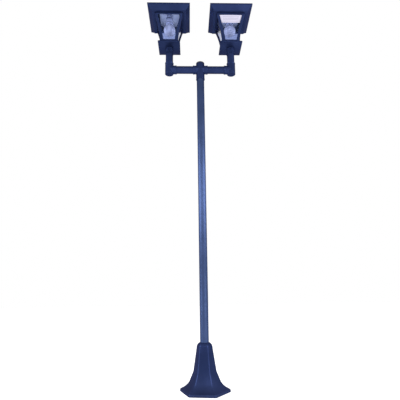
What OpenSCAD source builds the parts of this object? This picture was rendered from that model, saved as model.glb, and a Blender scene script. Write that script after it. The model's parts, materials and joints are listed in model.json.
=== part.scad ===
// Two-lantern garden lamp post: a mast on a bolted flange under a hexagonal bell,
// a cross-arm of tube fittings, and two square tapered lanterns with hipped roofs.
// The origin is on the ground at the mast's axis, +Z is up and the cross-arm lies along X.

/* [Tubes and fittings] */
// Outside diameter of the mast, arms and risers
tube_d = 42.4; // [38:0.1:46]
// Wall of every tube
tube_wall = 2; // [1.5:0.1:3]
// Height of the cross-arm's axis above the ground
arm_z = 1693; // [1000:1:2400]
// Distance between the two lanterns' axes
arm_span = 356; // [348:1:600]
// Wall of a fitting round the tube that it holds
socket_wall = 2.5; // [2:0.1:5]
// Distance from a fitting's centre to the mouth of its socket
socket_reach = 42; // [38:1:60]
// Length of tube that a socket holds
socket_grip = 20; // [12:1:24]
// Distance from the cross-arm's axis down to the tee's lower mouth
tee_skirt = 63; // [55:1:90]
// Distance from the cross-arm's axis down to the elbow's closed end
elbow_drop = 28; // [26:1:40]
// Height of the black plug's flange on the tee
plug_h = 7; // [4:0.5:12]

/* [Foot] */
// Turn of the foot against the cross-arm
foot_turn = -9; // [-30:1:30]
// Diameter of the ground flange
flange_d = 170; // [140:1:176]
// Thickness of the ground flange
flange_t = 8; // [6:0.5:12]
// Diameter of the cable hole through the flange
cable_d = 30; // [20:1:34]
// Pitch circle of the three ground bolts
bolt_pcd = 130; // [110:1:140]
// Diameter of each bolt hole
bolt_d = 11; // [9:0.5:13]
// Height of the bell
bell_h = 217; // [200:1:260]
// Radius of the bell at its corners on the ground
bell_r = 122; // [116:1:140]
// Radius at the corners of the crease, where the bell starts to flare
crease_r = 57.5; // [54:0.5:64]
// Height of the crease
crease_z = 88; // [80:1:100]
// Radius at the corners of the shoulder
shoulder_r = 40.5; // [38:0.5:50]
// Thickness of the bell's wall
bell_wall = 5; // [4:0.5:7]

/* [Lantern base and body] */
// Height of the lantern's base plate above the cross-arm's axis
riser_rise = 141; // [120:1:300]
// Side of the square base plate
plate_side = 126; // [118:1:150]
// Height of the plate's upright edge
plate_edge = 6; // [4:0.5:10]
// Depth of the four-sided underside
plate_drop = 8; // [4:0.5:14]
// Height of the slope from the plate's edge up to the body
shoulder_h = 10; // [8:0.5:14]
// Length of the socket below the plate's edge
collar_h = 39; // [34:1:60]
// Width of the body at its foot
body_foot = 102; // [96:1:108]
// Width of the body at its head
body_head = 164; // [156:1:172]
// Height of the body from its foot to the roof
body_h = 159; // [140:1:200]
// How far the body's posts bow inward at half height
body_bow = 5; // [0:0.5:7]
// Wall of the body
body_wall = 4; // [3:0.5:5]
// Width of a window along its sill
window_foot = 65; // [56:1:70]
// Width of a window along its head
window_head = 132; // [120:1:136]
// How far a window's upright edges bow inward at half height
window_bow = 3.5; // [0:0.5:6]
// Height of the sill below a window
sill_h = 8; // [6:0.5:14]
// Height of the lintel above a window
lintel_h = 7; // [5:0.5:20]
// Thickness of the glass
glass_t = 3; // [2:0.5:4]

/* [Lantern roof and lamp] */
// Side of the roof along its eaves
roof_side = 241; // [226:1:244]
// Height of the upright lip along the eaves
eave_h = 8; // [5:0.5:12]
// Rise of the hipped roof above the lip
roof_rise = 93; // [80:1:110]
// Thickness of the roof's skin
roof_wall = 4; // [3:0.5:6]
// Side of the moulding's flat lower face
cornice_side = 196; // [188:1:204]
// Height of the moulding from its flat face to the lip
cornice_h = 25; // [20:0.5:32]
// Height of the reflector above the body's head
reflector_up = 43; // [38:1:48]
// Length of the reflector panel from front to back
reflector_length = 184; // [170:1:190]
// Width of the reflector panel
reflector_width = 116; // [100:1:130]
// Thickness of the reflector panel
reflector_t = 2; // [1:0.5:3]
// Distance between the two bosses that carry the reflector
boss_gap = 140; // [100:1:150]
// Diameter of the lampholder
holder_d = 41; // [38:0.5:46]
// Length of the lampholder
holder_h = 56; // [50:1:64]
// Diameter of the globe bulb
bulb_d = 69; // [60:1:72]
// Diameter of the bulb's screw cap
cap_d = 27; // [24:0.5:28]

/* [Hidden] */
$fn = 64;

left = -1;
right = 1;
paint = [0.13, 0.17, 0.30];
past = 1;               // how far a cutter runs past the face it cuts
run_gap = 0.05;         // radial clearance of a tube that turns in a socket
slide_gap = 0.3;        // radial clearance of the bell on the mast
seat_gap = 0.2;         // gap between a pane and the frame in front of it

tube_r = tube_d / 2;
bore_r = tube_r + run_gap;
socket_r = bore_r + socket_wall;
way_r = tube_r - tube_wall - 1;         // cable way inside the fittings
stop = socket_reach - socket_grip;      // where a tube ends, from the fitting's centre
mast_top = arm_z - stop - 3;
bead_r = socket_r + 0.8;
bead_h = 5;

// Bell: corner radii against height. The flare is a straight run and then an elliptical sweep.
rim_h = 9;
rim_in = 2.4;
flare_r = crease_r + 19.5;
flare_z = crease_z / 2;
flare_a = atan((flare_r - crease_r) / (crease_z - flare_z));
foot_a = 63;
foot_z = rim_h + 2.5;
sweep_r = (bell_r - rim_in - flare_r) / (cos(flare_a) - cos(foot_a));
sweep_z = (flare_z - foot_z) / (sin(foot_a) - sin(flare_a));
crown_r = 26;
crown_a = 62;             // the rounding ends this steep, at a narrow flat ring

// Lantern heights, from the plate's lower edge
foot_up = plate_edge + shoulder_h;
head_up = foot_up + body_h;
window_lo = foot_up + sill_h;
window_hi = head_up - lintel_h;
neck_h = 6;
neck_step = 2;
neck_half = body_head / 2 - neck_step;
lean = (body_head - body_foot) / 2 / body_h;     // spread of a face per unit of height
skin = body_wall * sqrt(1 + lean * lean);        // wall measured level
ledge_up = foot_up + 4;                          // the ledge that the panes stand on
ledge_in = 11;
pane_up = head_up - 1;                           // top edge of the panes
floor_up = plate_edge + 2;
riser_end = floor_up - 6;
eave_up = head_up + cornice_h;
lip_up = eave_up + eave_h;
roof_in = neck_half + 0.5;
roof_ledge = 5;
apex_half = 3;
cornice_step = 3;
eave_set = 1.5;
cornice_lean = (roof_side / 2 - eave_set - cornice_side / 2) / (cornice_h - cornice_step);
eave_in = roof_side / 2 - eave_set - roof_wall * sqrt(1 + cornice_lean * cornice_lean);
roof_slope = roof_rise / (roof_side / 2 - apex_half);
panel_up = head_up + reflector_up;
holder_up = panel_up - holder_h;
bulb_up = holder_up - 43;
cap_h = 26;

// A curved run is drawn through this many straight pieces
bends = 8;
function heights(lo, hi) = [for (k = [0 : bends]) lo + (hi - lo) * k / bends];

// A parabola from 0 at both ends of a run to 1 at its middle
function bow(t) = 4 * t * (1 - t);

function body_half(z) =
  body_foot / 2 + lean * (z - foot_up) - body_bow * bow((z - foot_up) / body_h);

function window_half(z) =
  let (t = (z - window_lo) / (window_hi - window_lo))
  window_foot / 2 + (window_head - window_foot) / 2 * t - window_bow * bow(t);

// Height of the roof's inner skin at a distance from the axis
function skin_height(x) =
  lip_up + (roof_side / 2 - x) * roof_slope - roof_wall * sqrt(1 + roof_slope * roof_slope);

// ---- shared forms ----

// A square form: half-widths against height, mitred at the four corners
module square_form(points) {
  reach = max([for (p = points) p[0]]) + past;
  last = len(points) - 1;
  outline = concat(points, [for (i = [last : -1 : 0]) [-points[i][0], points[i][1]]]);
  intersection_for (a = [0, 90])
    rotate([90, 0, a])
      linear_extrude(height = 2 * reach, center = true)
        polygon(outline);
}

module tube(r, length) {
  difference() {
    cylinder(r = r, h = length);
    translate([0, 0, -past])
      cylinder(r = r - tube_wall, h = length + 2 * past);
  }
}

// Outside of a socket from its fitting's centre to its mouth, with the bead round the mouth
module socket(reach) {
  cylinder(r = socket_r, h = reach);
  translate([0, 0, reach - bead_h])
    cylinder(r = bead_r, h = bead_h);
}

// The bore for a tube, from its stop to past the mouth
module socket_bore(from, reach) {
  translate([0, 0, from])
    cylinder(r = bore_r, h = reach - from + past);
}

module along_arm(side) {
  translate([0, 0, arm_z])
    rotate([0, 90 * side, 0])
      children();
}

module at_riser(side) {
  translate([side * arm_span / 2, 0, arm_z])
    children();
}

module at_lantern(side) {
  translate([side * arm_span / 2, 0, arm_z + riser_rise])
    children();
}

// ---- foot and mast ----

module ground_flange() {
  color(paint)
    rotate([0, 0, foot_turn])
      difference() {
        cylinder(d = flange_d, h = flange_t);
        translate([0, 0, -past])
          cylinder(d = cable_d, h = flange_t + 2 * past);
        for (k = [0 : 2])
          rotate([0, 0, 90 + 120 * k])
            translate([bolt_pcd / 2, 0, -past])
              cylinder(d = bolt_d, h = flange_t + 2 * past);
      }
}

module mast_tube() {
  color(paint)
    translate([0, 0, flange_t])
      tube(tube_r, mast_top - flange_t);
}

// Corner radius of the bell against height from the ground up, drawn in and down by the wall
function bell_outline(in, down) = [
  for (p = concat(
    [[bell_r, 0], [bell_r, rim_h]],
    [for (k = [0 : 8]) let (a = foot_a + (flare_a - foot_a) * k / 8)
      [flare_r + sweep_r * (cos(flare_a) - cos(a)), flare_z + sweep_z * (sin(flare_a) - sin(a))]],
    [[crease_r, crease_z]],
    [for (k = [0 : 7]) let (a = crown_a * k / 7)
      [shoulder_r - crown_r * (1 - cos(a)), bell_h - crown_r * (sin(crown_a) - sin(a))]]
  )) [p[0] - in, p[1] - (p[1] > 0 ? down : past)]
];

module hexagon_form(points) {
  last = len(points) - 1;
  flat = cos(30);
  outline = concat([for (p = points) [p[0] * flat, p[1]]],
                   [for (i = [last : -1 : 0]) [-points[i][0] * flat, points[i][1]]]);
  intersection_for (a = [30, 90, 150])
    rotate([90, 0, a])
      linear_extrude(height = 3 * bell_r, center = true)
        polygon(outline);
}

module bell_cover() {
  color(paint)
    rotate([0, 0, foot_turn])
      difference() {
        hexagon_form(bell_outline(0, 0));
        hexagon_form(bell_outline(bell_wall, bell_wall));
        cylinder(r = tube_r + slide_gap, h = bell_h + past);
      }
}

// ---- cross-arm ----

module tee() {
  color(paint)
    difference() {
      union() {
        translate([0, 0, arm_z])
          cylinder(r = socket_r, h = socket_reach - bead_h);
        translate([0, 0, arm_z])
          mirror([0, 0, 1])
            socket(tee_skirt);
        for (side = [left, right])
          along_arm(side)
            socket(socket_reach);
      }
      translate([0, 0, mast_top - past])
        cylinder(r = way_r, h = arm_z - mast_top + socket_reach);
      translate([0, 0, arm_z + stop])
        cylinder(r = bore_r, h = socket_reach);
      translate([0, 0, arm_z - tee_skirt - past])
        cylinder(r = bore_r, h = mast_top - arm_z + tee_skirt + past);
      for (side = [left, right])
        along_arm(side) {
          cylinder(r = way_r, h = socket_reach);
          socket_bore(stop, socket_reach);
        }
    }
}

module tee_plug() {
  color([0.03, 0.03, 0.04])
    translate([0, 0, arm_z + socket_reach - bead_h]) {
      cylinder(r = socket_r, h = plug_h - 2);
      translate([0, 0, plug_h - 2])
        cylinder(r1 = socket_r, r2 = socket_r - 2, h = 2);
      translate([0, 0, -8])
        cylinder(r = bore_r - run_gap, h = 8);
    }
}

module arm(side) {
  color(paint)
    along_arm(side)
      translate([0, 0, stop])
        tube(tube_r, arm_span / 2 - 2 * stop);
}

module elbow(side) {
  cap = 4;
  color(paint)
    at_riser(side)
      difference() {
        union() {
          socket(socket_reach);
          mirror([0, 0, 1]) {
            cylinder(r = socket_r, h = elbow_drop - 3);
            translate([0, 0, elbow_drop - 3])
              cylinder(r1 = socket_r, r2 = socket_r - 3, h = 3);
          }
          rotate([0, -90 * side, 0])
            socket(socket_reach);
        }
        translate([0, 0, -elbow_drop + cap])
          cylinder(r = way_r, h = elbow_drop + socket_reach);
        socket_bore(stop, socket_reach);
        rotate([0, -90 * side, 0]) {
          cylinder(r = way_r, h = socket_reach);
          socket_bore(stop, socket_reach);
        }
      }
}

module riser(side) {
  color(paint)
    at_riser(side)
      translate([0, 0, stop])
        tube(tube_r, riser_rise + riser_end - stop);
}

// ---- lantern ----

// Base plate: shallow four-sided underside, sloped shoulder and a grooved socket for the riser
module base(side) {
  groove = 1;
  grooves = 3;
  pitch = (collar_h - plate_drop - bead_h) / grooves;
  pocket = body_foot / 2 - ledge_in;
  color(paint)
    at_lantern(side)
      difference() {
        union() {
          square_form([
            [socket_r, -plate_drop], [plate_side / 2, 0], [plate_side / 2, plate_edge],
            [body_foot / 2 + 1, foot_up]
          ]);
          translate([0, 0, -collar_h])
            cylinder(r = socket_r, h = collar_h);
          translate([0, 0, -collar_h])
            cylinder(r = bead_r, h = bead_h);
        }
        for (k = [1 : grooves])
          translate([0, 0, -collar_h + bead_h + (k - 0.5) * pitch])
            difference() {
              cylinder(r = bead_r + past, h = 2);
              translate([0, 0, -past])
                cylinder(r = socket_r - groove, h = 2 + 2 * past);
            }
        translate([0, 0, -collar_h - past])
          cylinder(r = bore_r, h = collar_h + riser_end + past);
        cylinder(r = way_r / 2, h = foot_up + past);
        square_form([[pocket, floor_up], [pocket, foot_up + past]]);
      }
}

// A window in the front and back faces, narrow at its sill
module window_cut() {
  rotate([90, 0, 0])
    linear_extrude(height = 2 * body_head, center = true)
      polygon(concat([for (z = heights(window_lo, window_hi)) [window_half(z), z]],
                     [for (z = heights(window_hi, window_lo)) [-window_half(z), z]]));
}

// Body: four bowed posts with a sill, a lintel and the neck that locates the roof
module body(side) {
  color(paint)
    at_lantern(side)
      difference() {
        square_form(concat(
          [for (z = heights(foot_up, head_up)) [body_half(z), z]],
          [[neck_half, head_up], [neck_half, head_up + neck_h]]
        ));
        square_form(concat(
          [[body_foot / 2 - ledge_in, foot_up - past], [body_foot / 2 - ledge_in, ledge_up]],
          [for (z = heights(ledge_up, head_up)) [body_half(z) - skin, z]],
          [[body_half(head_up) - skin, head_up + neck_h + past]]
        ));
        for (a = [0, 90])
          rotate([0, 0, a])
            window_cut();
      }
}

// One pane in the front face: a sheet bent to the body's bow and trimmed clear of its neighbours
module pane(turn) {
  sheet = glass_t * sqrt(1 + lean * lean);
  edge = sheet + 0.6;
  rise = [for (z = heights(ledge_up, pane_up)) [body_half(z) - skin - seat_gap, z]];
  fall = [for (k = [bends : -1 : 0]) rise[k]];
  rotate([0, 0, turn])
    intersection() {
      rotate([90, 0, 90])
        linear_extrude(height = 2 * body_head, center = true)
          polygon(concat([for (p = rise) [-p[0], p[1]]], [for (p = fall) [sheet - p[0], p[1]]]));
      rotate([90, 0, 0])
        linear_extrude(height = 2 * body_head, center = true)
          polygon(concat([for (p = rise) [p[0] - edge, p[1]]], [for (p = fall) [edge - p[0], p[1]]]));
    }
}

module glass(side, turn) {
  color([0.62, 0.68, 0.85, 0.5])
    at_lantern(side)
      pane(turn);
}

// Roof: hipped skin over an upright lip, with the sloped moulding and its inward ledge below
module roof(side) {
  color(paint)
    at_lantern(side) {
      difference() {
        square_form([
          [cornice_side / 2, head_up], [cornice_side / 2, head_up + cornice_step],
          [roof_side / 2 - eave_set, eave_up], [roof_side / 2, eave_up],
          [roof_side / 2, lip_up], [apex_half, lip_up + roof_rise]
        ]);
        square_form([
          [roof_in, head_up - past], [roof_in, head_up + roof_ledge],
          [eave_in - (cornice_h - roof_ledge) * cornice_lean, head_up + roof_ledge],
          [eave_in, eave_up], [eave_in, skin_height(eave_in)], [apex_half, skin_height(apex_half)]
        ]);
      }
      for (s = [left, right])
        translate([0, s * boss_gap / 2, panel_up + reflector_t])
          cylinder(d = 10, h = skin_height(boss_gap / 2) - panel_up - reflector_t + past);
    }
}

// Reflector: a long panel with its corners cut off, under two bosses in the roof
module reflector(side) {
  x = reflector_width / 2;
  y = reflector_length / 2;
  snip = 14;
  color([0.92, 0.92, 0.93])
    at_lantern(side)
      difference() {
        translate([0, 0, panel_up])
          linear_extrude(height = reflector_t)
            polygon([
              [x - snip, -y], [x, snip - y], [x, y - snip], [x - snip, y],
              [snip - x, y], [-x, y - snip], [-x, snip - y], [snip - x, -y]
            ]);
        translate([0, 0, panel_up - past])
          cylinder(d = 10, h = reflector_t + 2 * past);
      }
}

// Lampholder: two long bands over a lip, with narrow waists, open below for the bulb's cap
module holder(side) {
  lip = 2;
  waist = 4;
  band = (holder_h - lip) / 2 - waist;
  color([0.75, 0.76, 0.80])
    at_lantern(side)
      translate([0, 0, holder_up])
        difference() {
          union() {
            cylinder(d = holder_d - 5, h = holder_h);
            cylinder(d = holder_d, h = lip);
            for (k = [0, 1])
              translate([0, 0, lip + waist + k * (band + waist)])
                cylinder(d = holder_d, h = band);
          }
          translate([0, 0, -past])
            cylinder(d = cap_d + 2 * run_gap, h = cap_h + 2 + past);
        }
}

module bulb_shape(grow) {
  neck_z = 0.7 * bulb_d / 2;
  neck_w = sqrt(pow(bulb_d / 2, 2) - neck_z * neck_z);
  throat = holder_up - seat_gap - bulb_up;
  sphere(r = bulb_d / 2 + grow);
  translate([0, 0, neck_z])
    cylinder(r1 = neck_w + grow, r2 = cap_d / 2 + 1.5 + grow, h = throat - neck_z + grow);
  translate([0, 0, throat - 2 * past])
    cylinder(r = cap_d / 2 + grow, h = cap_h + 2 * past + grow);
}

module bulb(side) {
  shell = 1.2;
  color([0.97, 0.97, 0.95])
    at_lantern(side)
      translate([0, 0, bulb_up])
        difference() {
          bulb_shape(0);
          bulb_shape(-shell);
        }
}

ground_flange();
mast_tube();
bell_cover();
tee();
tee_plug();
arm(left);  // arm_left
arm(right);  // arm_right
elbow(left);  // elbow_left
elbow(right);  // elbow_right
riser(left);  // riser_left
riser(right);  // riser_right
base(left);  // base_left
body(left);  // body_left
glass(left, 0);  // glass_front_left
glass(left, 180);  // glass_back_left
glass(left, 90);  // glass_inner_left
glass(left, -90);  // glass_outer_left
roof(left);  // roof_left
reflector(left);  // reflector_left
holder(left);  // holder_left
bulb(left);  // bulb_left
base(right);  // base_right
body(right);  // body_right
glass(right, 0);  // glass_front_right
glass(right, 180);  // glass_back_right
glass(right, -90);  // glass_inner_right
glass(right, 90);  // glass_outer_right
roof(right);  // roof_right
reflector(right);  // reflector_right
holder(right);  // holder_right
bulb(right);  // bulb_right
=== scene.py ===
# %% [markdown]
# # A garden lamp post with two lanterns
# The post is a painted tube on a hexagonal bell foot. A tee on its top carries two short arms,
# and each arm ends in an elbow, a riser and a square lantern under a hipped roof. The packed
# solids hold every size. Here each visible piece gets the softened edges, cast corners, screws
# and finishes that make it look like painted metal, glass and porcelain.

# %% Load the solids
import json
import math

import bpy
from mathutils import Matrix, Vector

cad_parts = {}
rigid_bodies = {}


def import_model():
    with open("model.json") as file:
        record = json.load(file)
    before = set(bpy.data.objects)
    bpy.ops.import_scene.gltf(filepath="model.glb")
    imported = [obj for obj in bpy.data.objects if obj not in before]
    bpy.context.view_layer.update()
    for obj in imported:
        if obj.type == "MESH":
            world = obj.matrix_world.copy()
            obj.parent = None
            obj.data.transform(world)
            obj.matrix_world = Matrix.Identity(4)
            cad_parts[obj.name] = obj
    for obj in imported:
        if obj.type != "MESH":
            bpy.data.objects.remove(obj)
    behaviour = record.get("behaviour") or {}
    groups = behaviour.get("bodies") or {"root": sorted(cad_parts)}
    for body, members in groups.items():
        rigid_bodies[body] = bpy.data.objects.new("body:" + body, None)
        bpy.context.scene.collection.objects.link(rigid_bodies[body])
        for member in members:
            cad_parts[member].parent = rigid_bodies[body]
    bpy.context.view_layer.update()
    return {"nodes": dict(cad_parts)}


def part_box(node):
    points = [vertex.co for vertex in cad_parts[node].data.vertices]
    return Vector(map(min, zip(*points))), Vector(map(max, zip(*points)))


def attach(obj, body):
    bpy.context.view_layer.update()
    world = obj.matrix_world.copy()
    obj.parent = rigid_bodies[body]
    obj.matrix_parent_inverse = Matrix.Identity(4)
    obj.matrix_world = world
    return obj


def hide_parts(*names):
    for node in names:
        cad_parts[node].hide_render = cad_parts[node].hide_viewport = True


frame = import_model()

# %% [markdown]
# ## Measures
# Sizes are written in millimetres, as a workshop would, and places are read from the solids, so
# that a dressed piece lands on the piece it stands for.

# %% Places on the post
MM = 0.001


def middle(node):
    """Centre of a solid's box, in millimetres."""
    low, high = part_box(node)
    return (low + high) / 2 / MM


def bottom(node):
    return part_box(node)[0].z / MM


def top(node):
    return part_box(node)[1].z / MM


arm_z = middle("arm_left").z
head_x = middle("riser_left").x
span = middle("riser_right").x - head_x
foot_z = bottom("body_left")
head_z = bottom("roof_left")
plate_z = foot_z - 16
sill_z, lintel_z = foot_z + 8, head_z - 7
tube_r = 21.2  # outside of the mast, the arms and the risers
skin = 4.075  # the lantern body's 4 mm wall, measured level through its lean
print(f"cross-arm {arm_z:.0f} mm up, lanterns {span:.0f} mm apart")

# %% [markdown]
# The lantern's body and its windows are not straight-sided: they widen upward and bow inward a
# little on the way. A straight taper less a parabola gives that line, and eight steps draw it
# smoothly enough for the casting, the windows and the label.

# %% The lantern's bowed lines
def bow(t):
    """0 at both ends of a run and 1 at its middle."""
    return 4 * t * (1 - t)


def bowed(z, low, high, foot, head, depth):
    """Half width at a height, on a taper from foot to head that bows inward by a depth."""
    t = (z - low) / (high - low)
    return foot + (head - foot) * t - depth * bow(t)


def body_half(z):
    return bowed(z, foot_z, head_z, foot=51, head=82, depth=5)


def window_half(z):
    return bowed(z, sill_z, lintel_z, foot=32.5, head=66, depth=3.5)


def climb(low, high, steps=8):
    """The heights of an even climb, both ends included."""
    return [low + (high - low) * k / steps for k in range(steps + 1)]


print("half widths of the body:", [round(body_half(z), 1) for z in climb(foot_z, head_z)])

# %% [markdown]
# ## Modelling by hand
# Nearly every piece here is a ring that is drawn upward: a flat circle with 4, 6 or many corners
# is extruded, moved and scaled, level by level, through the piece's profile. Four corners make a
# mitred square form, six make the bell, and many make a turned piece. A cube cut down to shape
# would do too, but in a drawn ring every level stays a measured number. One helper does the
# drawing, with the same operators that a hand would use in edit mode.


# %% Selecting one piece
def alone(piece=None):
    """Leaves edit mode and selects one piece, or nothing."""
    if bpy.context.mode != "OBJECT":
        bpy.ops.object.mode_set(mode="OBJECT")
    bpy.ops.object.select_all(action="DESELECT")
    if piece:
        piece.select_set(True)
        bpy.context.view_layer.objects.active = piece


def pick(piece, kind, test):
    """Opens a piece for editing with the edges or faces selected that pass a test."""
    alone(piece)
    kinds = ("VERT", "EDGE", "FACE")
    bpy.context.tool_settings.mesh_select_mode = [kind == name for name in kinds]
    bpy.ops.object.mode_set(mode="EDIT")
    bpy.ops.mesh.select_all(action="DESELECT")
    bpy.ops.object.mode_set(mode="OBJECT")
    for part in piece.data.edges if kind == "EDGE" else piece.data.polygons:
        part.select = test(part)
    bpy.ops.object.mode_set(mode="EDIT")


def pick_upright(piece, least):
    """Opens a piece for editing with the edges selected that climb by more than a height in mm."""
    heights = [v.co.z for v in piece.data.vertices]
    pick(piece, "EDGE",
         lambda edge: abs(heights[edge.vertices[0]] - heights[edge.vertices[1]]) > least * MM)


def settle(piece, name=None):
    """Puts a piece's place into its mesh, so that its object sits at the origin."""
    alone(piece)
    bpy.ops.object.transform_apply(location=True, rotation=True, scale=True)
    if name:
        piece.name = piece.data.name = name
    return piece


# %% Drawing a ring through a profile
def drawn(name, sides, levels, at=(0, 0), turn=0.0, loop=False):
    """A ring drawn through (radius, height) levels in mm. A loop ends on its own start."""
    (r, z), *rest = levels + levels[:1] if loop else levels
    alone()
    bpy.ops.mesh.primitive_circle_add(
        vertices=sides, radius=r * MM, fill_type="NOTHING" if loop else "NGON",
        location=(at[0] * MM, at[1] * MM, z * MM), rotation=(0, 0, turn))
    piece = settle(bpy.context.object, name)
    bpy.ops.object.mode_set(mode="EDIT")
    bpy.ops.mesh.select_all(action="SELECT")
    for r2, z2 in rest:
        bpy.ops.mesh.extrude_region_move(TRANSFORM_OT_translate={"value": (0, 0, (z2 - z) * MM)})
        bpy.ops.transform.resize(
            value=(r2 / r, r2 / r, 1), center_override=(at[0] * MM, at[1] * MM, z2 * MM))
        r, z = r2, z2
    bpy.ops.mesh.select_all(action="SELECT")
    bpy.ops.mesh.remove_doubles(threshold=0.02 * MM)
    bpy.ops.mesh.normals_make_consistent(inside=False)
    bpy.ops.object.mode_set(mode="OBJECT")
    return piece


def squared(name, levels, at, loop=False):
    """The same for a square form, whose levels are (half width, height)."""
    return drawn(name, 4, [(half * math.sqrt(2), z) for half, z in levels], at, math.pi / 4, loop)


# %% [markdown]
# Cast and pressed edges are never sharp. A Bevel modifier rounds every edge that turns by more
# than its limit, and smooth shading by angle keeps the broad faces flat beside the rounding. The
# modifiers are applied at once, so that the next cut or copy works on the finished mesh.


# %% Softening, cutting and joining
def apply(piece, kind, **settings):
    """Adds one modifier with its settings and applies it."""
    alone(piece)
    modifier = piece.modifiers.new(kind.lower(), kind)
    for key, value in settings.items():
        setattr(modifier, key, value)
    bpy.ops.object.modifier_apply(modifier=modifier.name)


def soften(piece, width, segments=2, limit=30, smooth=35):
    apply(piece, "BEVEL", width=width * MM, segments=segments, limit_method="ANGLE",
          angle_limit=math.radians(limit), use_clamp_overlap=True)
    alone(piece)
    bpy.ops.object.shade_smooth_by_angle(angle=math.radians(smooth))
    return piece


def cut(piece, cutter):
    """Takes a cutter's shape out of a piece and removes the cutter."""
    apply(piece, "BOOLEAN", object=cutter, operation="DIFFERENCE", solver="EXACT")
    bpy.data.objects.remove(cutter)


def join(name, first, *others):
    alone(first)
    for other in others:
        other.select_set(True)
    bpy.ops.object.join()
    first.name = first.data.name = name
    return first


def rod(radius, start, end, axis="z", sides=48):
    """A plain rod between two points on one axis, from which a fitting or a bore is made."""
    length = math.dist(start, end)
    spot = [(a + b) / 2 * MM for a, b in zip(start, end)]
    tilt = {"x": (0, math.pi / 2, 0), "y": (math.pi / 2, 0, 0), "z": (0, 0, 0)}[axis]
    alone()
    bpy.ops.mesh.primitive_cylinder_add(
        vertices=sides, radius=radius * MM, depth=length * MM, location=spot, rotation=tilt)
    return settle(bpy.context.object)


# %% Copies and their bodies
def copied(piece, name, shift=(0, 0, 0), turn=0.0):
    """A copy with a mesh of its own, turned about the mast and moved, in mm."""
    alone(piece)
    bpy.ops.object.duplicate(linked=False)
    copy = bpy.context.object
    copy.rotation_euler[2] = turn
    copy.location = [v * MM for v in shift]
    return settle(copy, name)


def fit(piece, body, slot, finish, *nodes):
    """Gives a piece its finish and its body, and hides the solids it stands for. The slot is not
    used.
    """
    if not piece.data.materials:
        piece.data.materials.append(finish)
    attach(piece, body)
    if nodes:
        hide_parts(*nodes)
    print(piece.name, "on", body, "-", len(piece.data.polygons), "faces")


# %% [markdown]
# ## Finishes
# A finish is a small graph of shader nodes. Arithmetic on patterns reads best as arithmetic, so
# a class wraps a socket and lets Python's operators add the Math nodes.


# %% Arithmetic on sockets
class Wave:
    """A socket that carries a number over the surface."""

    def __init__(self, tree, socket):
        self.tree, self.socket = tree, socket

    def math(self, kind, first, second):
        node = self.tree.nodes.new("ShaderNodeMath")
        node.operation = kind
        for plug, value in zip(node.inputs, (first, second)):
            if isinstance(value, Wave):
                self.tree.links.new(value.socket, plug)
            else:
                plug.default_value = value
        return Wave(self.tree, node.outputs[0])

    def __add__(self, other):
        return self.math("ADD", self, other)

    def __mul__(self, other):
        return self.math("MULTIPLY", self, other)

    __radd__, __rmul__ = __add__, __mul__

    def within(self, low, high):
        """1 between two values and 0 outside them."""
        return self.math("GREATER_THAN", self, low) * self.math("LESS_THAN", self, high)


# %% A finish and its nodes
class Finish:
    """A material whose nodes are added one by one to the surface shader."""

    def __init__(self, name, **fixed):
        self.material = bpy.data.materials.new(name)
        self.material.use_nodes = True
        self.tree = self.material.node_tree
        self.shader = self.tree.nodes["Principled BSDF"]
        for key, value in fixed.items():
            self.shader.inputs[key.replace("_", " ")].default_value = value
        self.place = self.node("ShaderNodeTexCoord", {}, out="Object")

    def node(self, kind, settings, out=0, **plugs):
        """Adds a node, sets it up, fills its sockets by name or as s0, s1, and gives an output."""
        node = self.tree.nodes.new(kind)
        for key, value in settings.items():
            if key == "stops":
                for stop, (spot, grey) in zip(node.color_ramp.elements, value):
                    stop.position, stop.color = spot, (grey, grey, grey, 1)
            else:
                setattr(node, key, value)
        for key, value in plugs.items():
            numbered = key[1:].isdigit()
            self.feed(node.inputs[int(key[1:]) if numbered else key.replace("_", " ")], value)
        return Wave(self.tree, node.outputs[out])

    def feed(self, plug, value):
        if isinstance(value, Wave):
            self.tree.links.new(value.socket, plug)
        else:
            plug.default_value = value

    def set(self, **plugs):
        for key, value in plugs.items():
            self.feed(self.shader.inputs[key.replace("_", " ")], value)

    def path(self, kind):
        """1 for one kind of ray, such as Camera or Shadow, and 0 for the rest."""
        return self.node("ShaderNodeLightPath", {}, out=f"Is {kind} Ray")

    def noise(self, scale, detail=3.0, rough=0.55):
        return self.node("ShaderNodeTexNoise", {}, Vector=self.place, Scale=scale,
                         Detail=detail, Roughness=rough)

    def steps(self, value, *stops):
        return self.node("ShaderNodeValToRGB", {"stops": stops}, Fac=value)

    def mix(self, factor, first, second):
        return self.node("ShaderNodeMix", {"data_type": "RGBA"}, out=2,
                         s0=factor, s6=first, s7=second)

    def bump(self, height, strength, distance):
        return self.node("ShaderNodeBump", {}, Height=height, Strength=strength, Distance=distance)

    def along(self, axis):
        """The distance from the post's origin along X, Y or Z, in metres."""
        return self.node("ShaderNodeSeparateXYZ", {}, out=axis, Vector=self.place)


def shade(*chart):
    """A colour as a paint chart gives it, 0 to 255, turned into the linear light Blender uses."""
    return (*[((v / 255 + 0.055) / 1.055) ** 2.4 for v in chart], 1)
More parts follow.
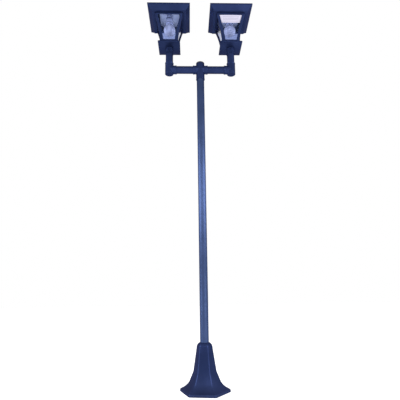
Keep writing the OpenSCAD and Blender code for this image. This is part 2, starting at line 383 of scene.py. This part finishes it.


# %% [markdown]
# ### Dark blue paint
# Sprayed satin enamel has a very fine orange-peel ripple, a sheen that wanders a little, and a
# colour that has faded in soft patches. Splashed dust pales it just above the ground. The paint
# has metal flake in it, so most of its light is a coloured sheen. On the drawn mast tube it is
# painted a little paler, as painted light for the brighter light that the mast catches, and the
# tube's fine lengthwise grain stretches the sheen into streaks.

# %% Paint
def enamel(name, deep, faded, rough, **fixed):
    """Dark blue enamel: two near shades in patches, dust near the ground and a fine ripple."""
    paint = Finish(name, Specular_IOR_Level=0.15, Specular_Tint=(0.25, 0.28, 0.4, 1), **fixed)
    patches = paint.noise(9.0)
    specks = paint.noise(160.0, detail=5.0)
    body = paint.mix(paint.steps(patches, (0.35, 0.0), (0.7, 1.0)), deep, faded)
    dusty = paint.steps(paint.along("Z") * 6.0, (0.0, 1.0), (0.6, 0.0)) * specks
    paint.set(Base_Color=paint.mix(dusty * 0.1, body, shade(90, 92, 104)),
              Roughness=rough + patches * 0.08 + dusty * 0.1,
              Normal=paint.bump(paint.noise(420.0, detail=2.0) * 0.7 + specks * 0.3, 0.1, 0.0003))
    return paint.material


PAINT = enamel("dark blue enamel", shade(31, 41, 74), shade(38, 49, 86),
               rough=0.36, Metallic=0.7)
# The mast's paler copy of the enamel is painted light: a lit copy of the dark blue paint.
PALE_LIT_TUBE_PAINT = enamel("blue enamel on the mast", shade(51, 64, 97), shade(59, 73, 109),
                    rough=0.36, Metallic=0.9, Anisotropic=0.8)
print("finishes:", PAINT.name, "and", PALE_LIT_TUBE_PAINT.name)

# %% [markdown]
# ### Plastic, enamel and porcelain
# The tee's plug is moulded black plastic with a fine grain. The reflector is white enamel, and the
# lampholder is glazed white porcelain, with its two waists painted dark grey as painted shade. The
# bulb is opal glass over a zinc-plated cap. One recipe makes them all: two near shades, a
# wandering sheen, a grain.

# %% Plastic, enamel and porcelain
def grained(name, dark, light, rough, grain, depth, **fixed):
    """A moulded or glazed finish: two near shades, a wandering sheen and a fine grain."""
    made = Finish(name, **fixed)
    drift = made.noise(30.0)
    made.set(Base_Color=made.mix(drift, dark, light), Roughness=rough + drift * 0.15,
             Normal=made.bump(made.noise(grain, detail=4.0), 0.2, depth))
    return made.material


BLACK = grained("black moulded plastic", shade(22, 22, 30), shade(34, 34, 44),
                rough=0.42, grain=900.0, depth=0.0002)
ENAMEL = grained("white enamel", shade(230, 237, 252), shade(238, 244, 255),
                 rough=0.28, grain=200.0, depth=0.0001)
PORCELAIN = grained("white porcelain", shade(196, 202, 228), shade(216, 220, 240),
                    rough=0.18, grain=120.0, depth=0.0001, Coat_Weight=0.4, Coat_Roughness=0.05)
# The lampholder's waists are painted dark grey: painted shade in the grooves.
WAIST_SHADE_PAINT = grained("dark grey painted shade", shade(78, 80, 90), shade(92, 94, 104),
               rough=0.6, grain=500.0, depth=0.0002)
ZINC = grained("zinc-plated steel", shade(150, 152, 158), shade(186, 188, 192),
               rough=0.25, grain=700.0, depth=0.0001, Metallic=1.0)
OPAL = grained("opal glass", shade(208, 210, 226), shade(218, 220, 234),
               rough=0.16, grain=60.0, depth=0.00005, Coat_Weight=0.5, Coat_Roughness=0.04)
print("finishes:", ", ".join(m.name for m in (BLACK, ENAMEL, PORCELAIN, WAIST_SHADE_PAINT, ZINC, OPAL)))

# %% [markdown]
# ### Paper
# The label is thin paper with a few ruled lines and nothing written on them.

# %% Paper
def ruled_paper(x, z):
    """Pale paper, with lines ruled in mm from the label's centre line x and its top edge z."""
    line, reach = 1.5, 46
    paper = Finish("ruled paper label", Roughness=0.6)
    sheet = paper.mix(paper.noise(40.0), shade(182, 179, 197), shade(192, 189, 206))
    lines = sum(paper.along("Z").within((z - down - line) * MM, (z - down) * MM)
                for down in (9, 17, 25, 33))
    inside = paper.along("X").within((x - reach) * MM, (x + reach) * MM)
    paper.set(Base_Color=paper.mix(lines * inside, sheet, shade(104, 102, 122)),
              Normal=paper.bump(paper.noise(1500.0, detail=4.0), 0.2, 0.0001))
    return paper.material


label_x, label_z = head_x + span, lintel_z - 0.5
PAPER = ruled_paper(label_x, label_z)
print("the label's top edge is", round(label_z), "mm up")

# %% [markdown]
# ### Window glass
# The panes are tinted and a little dusty, and their tint also colours what they reflect head-on.
# Glass that bends light stops the lamps' direct light, which would leave the lantern dark inside.
# A thin pane lets it through, so for the rays that only gather light the glass gives way to a
# transparent shader.

# %% Glass
def window_glass():
    tint = shade(184, 194, 226)
    glass = Finish("tinted window glass", Transmission_Weight=1.0, IOR=1.45, Base_Color=tint,
                   Specular_Tint=(0.2, 0.3, 0.6, 1))
    film = glass.steps(glass.noise(14.0, detail=4.0), (0.4, 0.0), (0.9, 1.0))
    glass.set(Roughness=0.02 + film * 0.10)
    clear = glass.node("ShaderNodeBsdfTransparent", {}, Color=shade(250, 251, 255))
    surface = Wave(glass.tree, glass.shader.outputs[0])
    for kind in ("Shadow", "Diffuse"):
        surface = glass.node("ShaderNodeMixShader", {}, s0=glass.path(kind), s1=surface, s2=clear)
    glass.tree.links.new(surface.socket, glass.tree.nodes["Material Output"].inputs["Surface"])
    return glass.material


GLASS = window_glass()
print("glass:", len(GLASS.node_tree.nodes), "nodes")

# %% [markdown]
# ## The bell foot
# The bell is cast as a thin hexagonal shell. Its faces run nearly straight from the shoulder to a
# crease, then sweep out to a low upright rim. A six-cornered ring is drawn up through that
# profile, the six ridges are bevelled as a file would ease them, the top is closed in to a round
# hole for the mast, and Solidify gives the wall its thickness. Drawing only the outside and
# thickening it last keeps the wall even where the sweep is tight.

# %% The bell's profile
bell_turn = math.radians(-9)
bell_top = top("bell_cover")
ridge_ease = 5.5
crease = (57.5, 88.0)


def bell_levels():
    """(corner radius, height) from the ground to the shoulder, in mm."""
    rim = [(122.0, 0.0), (122.0, 7.5), (121.3, 9.0), (119.6, 11.5)]
    (rim_r, rim_z), (flare_r, flare_z) = rim[-1], (77.0, 44.0)
    lean, foot = math.atan((flare_r - crease[0]) / (crease[1] - flare_z)), math.radians(63)
    reach = (rim_r - flare_r) / (math.cos(lean) - math.cos(foot))
    rise = (flare_z - rim_z) / (math.sin(foot) - math.sin(lean))
    sweep = [(flare_r + reach * (math.cos(lean) - math.cos(a)),
              flare_z + rise * (math.sin(lean) - math.sin(a)))
             for a in [foot + (lean - foot) * k / 10 for k in range(1, 11)]]
    shoulder_r, round_r, steep = 40.5, 26, math.radians(62)
    crown = [(shoulder_r - round_r * (1 - math.cos(a)),
              bell_top - round_r * (math.sin(steep) - math.sin(a)))
             for a in [steep * k / 7 for k in range(8)]]
    return rim + sweep + [crease] + crown


levels = bell_levels()
print("bell levels:", len(levels), "from", levels[0], "to", [round(v, 1) for v in levels[-1]])

# %% Draw the bell, ease its ridges and give it a wall
def bell():
    """The bell's outer skin, open at both ends, with eased ridges."""
    shell = drawn("bell", 6, levels, turn=math.radians(30) + bell_turn)
    pick(shell, "FACE", lambda face: abs(face.normal.z) > 0.999)
    bpy.ops.mesh.delete(type="ONLY_FACE")
    pick_upright(shell, 0.1)
    bpy.ops.mesh.bevel(offset=ridge_ease * MM, segments=4, profile=0.5, affect="EDGES",
                       offset_type="OFFSET")
    bpy.ops.object.mode_set(mode="OBJECT")
    return shell


def close_in(shell, radius):
    """Bridges the bell's open top to a round hole."""
    hole = drawn("hole", 30, [(radius, bell_top + 0.01)], turn=bell_turn)
    bpy.ops.object.mode_set(mode="EDIT")
    bpy.ops.mesh.select_all(action="SELECT")
    bpy.ops.mesh.delete(type="ONLY_FACE")
    join("bell", shell, hole)
    height = [v.co.z for v in shell.data.vertices]
    pick(shell, "EDGE", lambda edge: min(height[v] for v in edge.vertices) > max(height) - 0.6 * MM)
    bpy.ops.mesh.bridge_edge_loops()
    bpy.ops.mesh.select_all(action="SELECT")
    bpy.ops.mesh.normals_make_consistent(inside=False)
    bpy.ops.object.mode_set(mode="OBJECT")


bell_piece = bell()
close_in(bell_piece, tube_r + 0.35)
apply(bell_piece, "SOLIDIFY", thickness=4.5 * MM, offset=-1, use_even_offset=True)
soften(bell_piece, 0.5, limit=60, smooth=24)
fit(bell_piece, "bell", "paint", PAINT, "bell_cover")

# %% [markdown]
# ## Tube fittings
# The tee and the elbows are small castings: their branches flow into each other in soft fillets.
# The branches are plain rods, joined and remeshed as one skin, and a few passes of smoothing melt
# the corners. A bevel would fail here, because it cannot follow the crossing of two round forms.
# The bores are cut afterwards, so that the mouths stay crisp. They run on past the mouths by
# different lengths, and the cable way across is a hair narrower than the one upward, so that no
# two cutters share a surface.


# %% Cast a fitting from rods
def cast(name, rods, bores):
    """Rods melted into one skin, with the bores cut out of it."""
    piece = join(name, *rods)
    apply(piece, "REMESH", mode="VOXEL", voxel_size=1.1 * MM)
    apply(piece, "SMOOTH", factor=0.5, iterations=7)
    for bore in bores:
        cut(piece, bore)
    alone(piece)
    bpy.ops.object.shade_smooth_by_angle(angle=math.radians(40))
    return piece


socket_r, bead_r, bore_r, way_r = 24.1, 25.0, 21.25, 18.0
reach, stop, bead = 42, 22, 5  # from the centre: the mouth, the tube's end; width of the bead

# %% The tee
def tee():
    """Two sockets for the arms, and a long one that stands on the mast."""
    low, high = arm_z - 63, arm_z + 37
    rods = [rod(socket_r, (0, 0, low), (0, 0, high)),
            rod(bead_r, (0, 0, low), (0, 0, low + bead)),
            rod(socket_r, (-reach, 0, arm_z), (reach, 0, arm_z), "x")]
    rods += [rod(bead_r, (s * (reach - bead), 0, arm_z), (s * reach, 0, arm_z), "x")
             for s in (-1, 1)]
    bores = [rod(bore_r, (s * stop, 0, arm_z), (s * 60, 0, arm_z), "x") for s in (-1, 1)]
    bores += [rod(bore_r, (0, 0, low - 5), (0, 0, arm_z - 25)),
              rod(bore_r, (0, 0, high - 15), (0, 0, high + 5)),
              rod(way_r, (0, 0, low - 9), (0, 0, high + 9)),
              rod(way_r - 0.7, (-64, 0, arm_z), (64, 0, arm_z), "x", sides=44)]
    return cast("tee_casting", rods, bores)


tee_piece = tee()
fit(tee_piece, "cross_arm", "paint", PAINT, "tee")

# %% [markdown]
# The tee's open top is closed by a moulded plug: a spigot in the bore, under a cap whose rounded
# edge stands just past the casting.

# %% The plug in the tee
plug = drawn("tee_cap", 48, [(21.15, arm_z + 29), (21.15, arm_z + 37.1), (23.9, arm_z + 37.1),
                             (23.9, arm_z + 41), (22.6, arm_z + 43.2), (19, arm_z + 44)])
soften(plug, 0.5)
fit(plug, "cross_arm", "plug", BLACK, "tee_plug")

# %% [markdown]
# An elbow is the same kind of casting as the tee, closed below its corner. The left one is made,
# and the right one is its copy, turned half round the mast.

# %% The elbows
def elbow(x):
    """One socket for the arm and one for the riser, on a short closed stub."""
    low, high = arm_z - 28, arm_z + reach
    rods = [rod(socket_r, (x, 0, low), (x, 0, high)),
            rod(bead_r, (x, 0, high - bead), (x, 0, high)),
            rod(socket_r, (x, 0, arm_z), (x + reach, 0, arm_z), "x"),
            rod(bead_r, (x + reach - bead, 0, arm_z), (x + reach, 0, arm_z), "x")]
    bores = [rod(bore_r, (x, 0, arm_z + stop), (x, 0, high + 5)),
             rod(bore_r, (x + stop, 0, arm_z), (x + 60, 0, arm_z), "x"),
             rod(way_r, (x, 0, low + 4), (x, 0, high + 9)),
             rod(way_r - 0.7, (x, 0, arm_z), (x + 64, 0, arm_z), "x", sides=44)]
    return cast("elbow_casting_left", rods, bores)


left_elbow = elbow(head_x)
right_elbow = copied(left_elbow, "elbow_casting_right", turn=math.pi)
fit(left_elbow, "cross_arm", "paint", PAINT, "elbow_left")
fit(right_elbow, "cross_arm", "paint", PAINT, "elbow_right")

# %% [markdown]
# ## The lantern
# One lantern is modelled at the left and copied across. Each part of it is a square ring drawn
# through the section that its casting would have. The base is a thin plate with a four-sided
# underside, over a round socket whose three grooves are part of its turned profile.

# %% The base plate and its grooved socket
def base_plate():
    z, at = plate_z, (head_x, 0)
    plate = squared("plate", [(24, z - 8), (63, z), (63, z + 6), (52.6, z + 16),
                              (40, z + 16), (40, z + 8)], at)
    soften(plate, 0.8, limit=20)
    wall_r, groove_r, pitch = 23.75, 22.8, 8.67
    rings = [(bore_r, z - 39), (24.5, z - 39), (24.5, z - 34)]
    for k in range(3):
        groove = z - 34 + (k + 0.5) * pitch
        rings += [(wall_r, groove), (groove_r, groove + 0.6),
                  (groove_r, groove + 1.6), (wall_r, groove + 2.2)]
    collar = drawn("collar", 48, rings + [(wall_r, z - 2), (bore_r, z - 2)], at, loop=True)
    soften(collar, 0.3)
    cut(plate, rod(bore_r, (head_x, 0, z - 50), (head_x, 0, z + 2.1)))
    return join("base_casting_left", plate, collar)


# %% [markdown]
# The body is a square casting with a window in each face. The casting is drawn up its outside and
# down its inside as one closed loop. A bowed block as wide as a window then cuts two opposite faces
# at once, so that the posts, the sill and the lintel are what remains. Insetting every face
# would do as well, but two blocks are easier to keep true to the bow.

# %% The body with its four windows
def window_cutter(across):
    """A bowed block as wide as the windows, through two opposite faces."""
    low, *rest = climb(sill_z, lintel_z)
    wide = across == "x"
    right_through = 400
    alone()
    bpy.ops.mesh.primitive_plane_add(size=MM, location=(head_x * MM, 0, low * MM))
    block = settle(bpy.context.object)
    bpy.ops.object.mode_set(mode="EDIT")
    bpy.ops.mesh.select_all(action="SELECT")
    start = 2 * window_half(low)
    bpy.ops.transform.resize(
        value=(start, right_through, 1) if wide else (right_through, start, 1),
        center_override=(head_x * MM, 0, low * MM))
    z = low
    for z2 in rest:
        bpy.ops.mesh.extrude_region_move(TRANSFORM_OT_translate={"value": (0, 0, (z2 - z) * MM)})
        ratio = window_half(z2) / window_half(z)
        bpy.ops.transform.resize(value=(ratio, 1, 1) if wide else (1, ratio, 1),
                                 center_override=(head_x * MM, 0, z2 * MM))
        z = z2
    bpy.ops.mesh.select_all(action="SELECT")
    bpy.ops.mesh.normals_make_consistent(inside=False)
    bpy.ops.object.mode_set(mode="OBJECT")
    return block


def body_casting():
    """Up the outside, over the neck that locates the roof, and down the inside."""
    f, h, at = foot_z, head_z, (head_x, 0)
    outside = [(body_half(z), z) for z in climb(f, h)]
    inside = [(body_half(z) - skin, z) for z in climb(h, f + 4)]
    body = squared("body_casting_left", [(40, f)] + outside + [(80, h), (80, h + 6), (77.9, h + 6)]
                   + inside + [(40, f + 4)], at, loop=True)
    for across in ("x", "y"):
        cut(body, window_cutter(across))
    return soften(body, 0.9, segments=3)


# %% [markdown]
# The roof is a thin hipped canopy: a low pyramid over an upright lip, and under the lip a sloped
# moulding that runs in to a flat ledge. The ledge sits on the body's head, round its neck. The loop
# starts at the inner apex, runs down the inside to the ledge and comes back up the outside.

# %% The roof
def roof_casting():
    h, at = head_z, (head_x, 0)
    roof = squared("roof_casting_left", [
        (3, h + 120.9), (113.5, h + 33.4), (113.5, h + 25), (94.4, h + 5), (80.5, h + 5), (80.5, h),
        (98, h), (98, h + 3), (119, h + 25), (120.5, h + 25), (120.5, h + 33), (3, h + 126)], at)
    return soften(roof, 1.0, segments=3, limit=20)


plate_piece, body_piece, roof_piece = base_plate(), body_casting(), roof_casting()
print("lantern castings:", plate_piece.name, body_piece.name, roof_piece.name)

# %% [markdown]
# Under the roof hangs a long white panel with snipped corners, held by two screws, and on it the
# lampholder: a turned body with two waists. The panel is a block whose four upright edges are
# bevelled in one flat step, as tin snips would cut them.

# %% The reflector, its screws and the lampholder
panel_z = bottom("reflector_left")


def reflector():
    """A long white panel with snipped corners and a hole for the lampholder's stem."""
    alone()
    bpy.ops.mesh.primitive_cube_add(size=MM, location=(head_x * MM, 0, (panel_z + 1) * MM))
    panel = bpy.context.object
    panel.scale = (116, 184, 2)
    settle(panel, "reflector_panel_left")
    pick_upright(panel, 1)
    bpy.ops.mesh.bevel(offset=14 * MM, segments=1, affect="EDGES", offset_type="OFFSET")
    bpy.ops.object.mode_set(mode="OBJECT")
    cut(panel, rod(5, (head_x, 0, panel_z - 5), (head_x, 0, panel_z + 5)))
    return soften(panel, 0.25)


def screw(x, y, z):
    """A round-headed screw that points up, with a slot."""
    head = drawn("screw", 24, [(1.5, z - 3.2), (2.9, z - 2.8), (3.8, z - 1.8), (4.2, z - 0.4),
                               (4.2, z), (2.0, z), (2.0, z + 3)], (x, y))
    alone()
    bpy.ops.mesh.primitive_cube_add(size=MM, location=(x * MM, y * MM, (z - 3) * MM))
    slot = bpy.context.object
    slot.scale = (9, 0.9, 2.4)
    cut(head, settle(slot))
    return soften(head, 0.15)


def lampholder():
    """A turned body whose two waists are painted dark grey as painted shade, open below for the
    bulb's cap.
    """
    z, t = bottom("holder_left"), top("holder_left")
    body = soften(drawn("lampholder_left", 48, [
        (13.6, z + 27), (13.6, z), (19.8, z), (20.5, z + 0.6), (20.5, z + 2), (18, z + 2.4),
        (18, z + 5.6), (20.5, z + 6), (20.5, z + 29), (18, z + 29.4), (18, z + 32.6),
        (20.5, z + 33), (20.5, t)], (head_x, 0)), 0.2)
    body.data.materials.append(PORCELAIN)
    body.data.materials.append(WAIST_SHADE_PAINT)
    axis = Vector((head_x * MM, 0))

    def in_waist(face):
        off_axis = (face.center.xy - axis).length / MM
        return 17.5 < off_axis < 19.6 and 2.2 < face.center.z / MM - z < 33

    # The waist faces take the dark grey: painted shade where the grooves fall in shadow.
    pick(body, "FACE", in_waist)
    body.active_material_index = 1
    bpy.ops.object.material_slot_assign()
    bpy.ops.object.mode_set(mode="OBJECT")
    return body


panel, holder_piece = reflector(), lampholder()
screws = join("reflector_screws_left", screw(head_x, -70, panel_z), screw(head_x, 70, panel_z))
print("inside the roof:", panel.name, screws.name, holder_piece.name)

# %% [markdown]
# The bulb is a globe that draws in to a neck below the holder's mouth. Its threaded cap is hidden
# in the holder, and shows when the bulb is taken out. Rings with a ridged profile stand for the
# thread, which at this size looks the same as a true helix.

# %% The bulb
def bulb():
    r = 34.5
    z = bottom("bulb_left") + r
    mouth = bottom("holder_left") - 0.3
    last = math.degrees(math.asin(0.72))
    globe = [(r * math.cos(math.radians(a)), z + r * math.sin(math.radians(a)))
             for a in [-88 + (last + 88) * k / 22 for k in range(23)]]
    neck = [(21.5, z + 29), (19.2, mouth - 9), (17.2, mouth - 5), (15.6, mouth - 1.5),
            (15, mouth), (13.1, mouth)]
    root_r, crest_r, pitch = 12.5, 13.25, 3.6
    thread = []
    for k in range(6):
        start = mouth + 1.5 + k * pitch
        thread += [(root_r, start), (crest_r, start + 1.3),
                   (crest_r, start + 2.1), (root_r, start + 3.2)]
    glass = drawn("bulb_globe_left", 48, globe + neck + [(13.1, mouth + 1)], (head_x, 0))
    cap = drawn("bulb_cap_left", 48, [(13.1, mouth + 0.9)] + thread +
                [(11, mouth + 24), (5, mouth + 25.2), (4, mouth + 25.9)], (head_x, 0))
    return soften(glass, 0.3, smooth=50), soften(cap, 0.15, smooth=40)


globe_piece, cap_piece = bulb()
print("bulb faces:", len(globe_piece.data.polygons), "glass,", len(cap_piece.data.polygons), "cap")

# %% [markdown]
# Each piece of the lantern is now copied to the right, and both are put on their bodies. Copying
# the finished mesh is quicker than drawing it twice, and keeps the two lanterns alike. Base and
# body turn as the lantern, the roof lifts off as the hood with its reflector, screws and holder,
# and the bulb comes out as the lamp.

# %% Copy the lantern across and fit both
across = (span, 0, 0)
for piece, body, slot, finish, nodes in (
        (plate_piece, "lantern", "paint", PAINT, ["base"]),
        (body_piece, "lantern", "paint", PAINT, ["body"]),
        (roof_piece, "hood", "paint", PAINT, ["roof"]),
        (panel, "hood", "reflector", ENAMEL, ["reflector"]),
        (screws, "hood", "holder", ZINC, []),
        (holder_piece, "hood", "holder", PORCELAIN, ["holder"]),
        (globe_piece, "lamp", "bulb", OPAL, ["bulb"]),
        (cap_piece, "lamp", "bulb", ZINC, [])):
    other = copied(piece, piece.name.replace("left", "right"), shift=across)
    for one, side in ((piece, "left"), (other, "right")):
        fit(one, f"{body}_{side}", slot, finish, *[f"{node}_{side}" for node in nodes])

# %% [markdown]
# ## Small fittings
# Set screws lock the tee, the elbows, the sockets and the bell to their tubes. They sit at the
# back, where nobody looks. Each is drawn upright at the origin, given its hexagon socket, and only
# then laid over and moved to its place.


# %% Set screws
def set_screw(name, x, y, z, turn=0.0):
    """A hexagon-socket screw that looks out of the back of a fitting."""
    body = drawn(name, 24, [(2.9, -3.0), (2.9, 0.0), (2.3, 0.6)])
    cut(body, drawn("key", 6, [(1.5, -1.2), (1.5, 2.0)]))
    soften(body, 0.12)
    body.rotation_euler = (-math.pi / 2, 0, turn)
    body.location = (x * MM, y * MM, z * MM)
    return settle(body)


def locked(name, body, x, y, z, turn=0.0):
    """Puts a set screw on the body whose fitting it locks."""
    fit(set_screw(name, x, y, z, turn), body, "holder", ZINC)


locked("tee_screw", "cross_arm", 0, socket_r + 0.1, arm_z - 48)
for side, x in (("left", head_x), ("right", head_x + span)):
    locked(f"elbow_screw_{side}", "cross_arm", x, socket_r + 0.1, arm_z + 30)
    locked(f"socket_screw_{side}", f"lantern_{side}", x, 23.8, plate_z - 25.6)
back, screw_z = 37.3, 170
locked("bell_screw", "bell", back * math.sin(-bell_turn), back * math.cos(bell_turn), screw_z,
       bell_turn)

# %% [markdown]
# The right lantern still has its paper label, stuck across the top of the front pane. It follows
# the bend of the glass, which stands a fifth of a millimetre behind the frame. So the label is a
# thin strip extruded upward in steps, each widened and moved as the window widens and the pane
# leans out.

# %% The label
def label(height=41.5, thick=0.15, edge=0.4, pane_gap=0.2):
    """A sheet of paper on the right lantern's front pane, as wide as its window."""
    low, *rest = climb(label_z - height, label_z, 6)

    def face(z):
        return skin + pane_gap - body_half(z)

    def wide(z):
        return window_half(z) - edge

    centre = (label_x * MM, face(low) * MM, low * MM)
    alone()
    bpy.ops.mesh.primitive_plane_add(size=MM, location=centre)
    sheet = settle(bpy.context.object, "label")
    bpy.ops.object.mode_set(mode="EDIT")
    bpy.ops.mesh.select_all(action="SELECT")
    bpy.ops.transform.resize(value=(2 * wide(low), thick, 1), center_override=centre)
    z = low
    for z2 in rest:
        bpy.ops.mesh.extrude_region_move(
            TRANSFORM_OT_translate={"value": (0, (face(z2) - face(z)) * MM, (z2 - z) * MM)})
        bpy.ops.transform.resize(value=(wide(z2) / wide(z), 1, 1),
                                 center_override=(label_x * MM, 0, z2 * MM))
        z = z2
    bpy.ops.mesh.select_all(action="SELECT")
    bpy.ops.mesh.normals_make_consistent(inside=False)
    bpy.ops.object.mode_set(mode="OBJECT")
    bpy.ops.object.shade_smooth_by_angle(angle=math.radians(30))
    return sheet


label_piece = label()
fit(label_piece, "lantern_right", "holder", PAPER)

# %% [markdown]
# The tubes, the panes and the ground flange are as plain in reality as their solids, so they keep
# those meshes as they are. They only get their finish, and smooth shading across small facets.

# %% Finishes of the solids that stay
for name, node in frame["nodes"].items():
    finish = GLASS if name.startswith("glass") else PALE_LIT_TUBE_PAINT if name == "mast_tube" else PAINT
    node.data.materials.clear()
    node.data.materials.append(finish)
    alone(node)
    bpy.ops.object.shade_smooth_by_angle(angle=math.radians(30))
print("solids with a finish:", len(frame["nodes"]))

# %% [markdown]
# ## Floor, light and camera
# A pale floor and a white surround, seen by the camera, by reflections and through the glass. The
# light that the surround throws on the post is weaker than it looks, or it would wash out the
# shaded sides. Two large soft lamps stand left and right of the front, so that the round tubes
# show broad upright highlights. A weak one in front fills the mast's middle, and two small ones
# near the ground draw the bell's ridges.

# %% Floor
alone()
bpy.ops.mesh.primitive_plane_add(size=14, location=(0, 0, -0.0005))
floor = bpy.context.object
floor.name = "floor"
ground = Finish("pale floor", Roughness=0.9, Base_Color=(0.86, 0.86, 0.86, 1))
seen = sum(ground.path(kind) for kind in ("Camera", "Glossy", "Transmission", "Diffuse"))
ground.set(Emission_Color=ground.mix(seen, (0, 0, 0, 1), (1, 1, 1, 1)), Emission_Strength=0.7)
floor.data.materials.append(ground.material)
print("floor:", round(floor.dimensions.x), "m across")

# %% World
world = bpy.context.scene.world or bpy.data.worlds.new("surround")
bpy.context.scene.world = world
world.use_nodes = True
tree = world.node_tree
paths = tree.nodes.new("ShaderNodeLightPath")
seen = sum(Wave(tree, paths.outputs[f"Is {kind} Ray"])
           for kind in ("Camera", "Glossy", "Transmission"))
backdrop = tree.nodes["Background"]
backdrop.inputs["Color"].default_value = (1, 1, 1, 1)
ambient = 0.4
strength = ambient + seen.math("MINIMUM", seen, 1.0) * (1 - ambient)
tree.links.new(strength.socket, backdrop.inputs["Strength"])
print("surround: 1 where it is seen,", ambient, "where it only gives light")

# %% Lamps
def softbox(name, spot, aim, size, watts):
    """A rectangular lamp that looks at a point."""
    bpy.ops.object.light_add(type="AREA", location=spot)
    lamp = bpy.context.object
    lamp.name = name
    lamp.data.shape = "RECTANGLE"
    lamp.data.size, lamp.data.size_y = size
    lamp.data.energy = watts
    lamp.rotation_euler = (Vector(aim) - Vector(spot)).to_track_quat("-Z", "Y").to_euler()
    print(name, "lamp:", watts, "W")


lamp_aim, foot_aim = (0, 0, 1.2), (0, 0, 0.13)
softbox("left", (-2.37, -1.06, 1.6), lamp_aim, size=(1.5, 1.1), watts=48)
softbox("right", (2.2, -1.38, 1.6), lamp_aim, size=(1.5, 1.1), watts=50)
softbox("front", (-0.1, -2.4, 1.55), (0, 0, 1.1), size=(0.6, 0.8), watts=8)
softbox("low left", (-1.22, -0.44, 0.35), foot_aim, size=(0.3, 0.45), watts=3)
softbox("low right", (0.87, -0.97, 0.35), foot_aim, size=(0.3, 0.45), watts=3)

# %% [markdown]
# The camera stands low and close, a little to the left of the mast, and looks up at it. Its place,
# heading, climb and bank are given apart, so that each can be set without upsetting the others.

# %% Camera
def camera(spot, heading, climb, bank, focal):
    """A camera aimed by heading and climb, then banked about its own line of sight."""
    h, c = math.radians(heading), math.radians(climb)
    ahead = Vector((math.sin(h) * math.cos(c), math.cos(h) * math.cos(c), math.sin(c)))
    right = Vector((math.cos(h), -math.sin(h), 0))
    turn = Matrix.Rotation(-math.radians(bank), 3, ahead)
    right = turn @ right
    rise = right.cross(ahead)
    bpy.ops.object.camera_add(location=spot)
    made = bpy.context.object
    facing = Matrix((right, rise, -ahead)).transposed().to_4x4()
    made.matrix_world = Matrix.Translation(spot) @ facing
    made.data.lens, made.data.sensor_width = focal, 36
    print("camera", round(spot[2], 2), "m up, looking", climb, "degrees upward")
    return made


bpy.context.scene.camera = camera((-0.072, -1.864, 0.489), heading=1.84, climb=13.13, bank=-0.81,
                                  focal=32.63)
bpy.context.scene.view_settings.view_transform = "Standard"
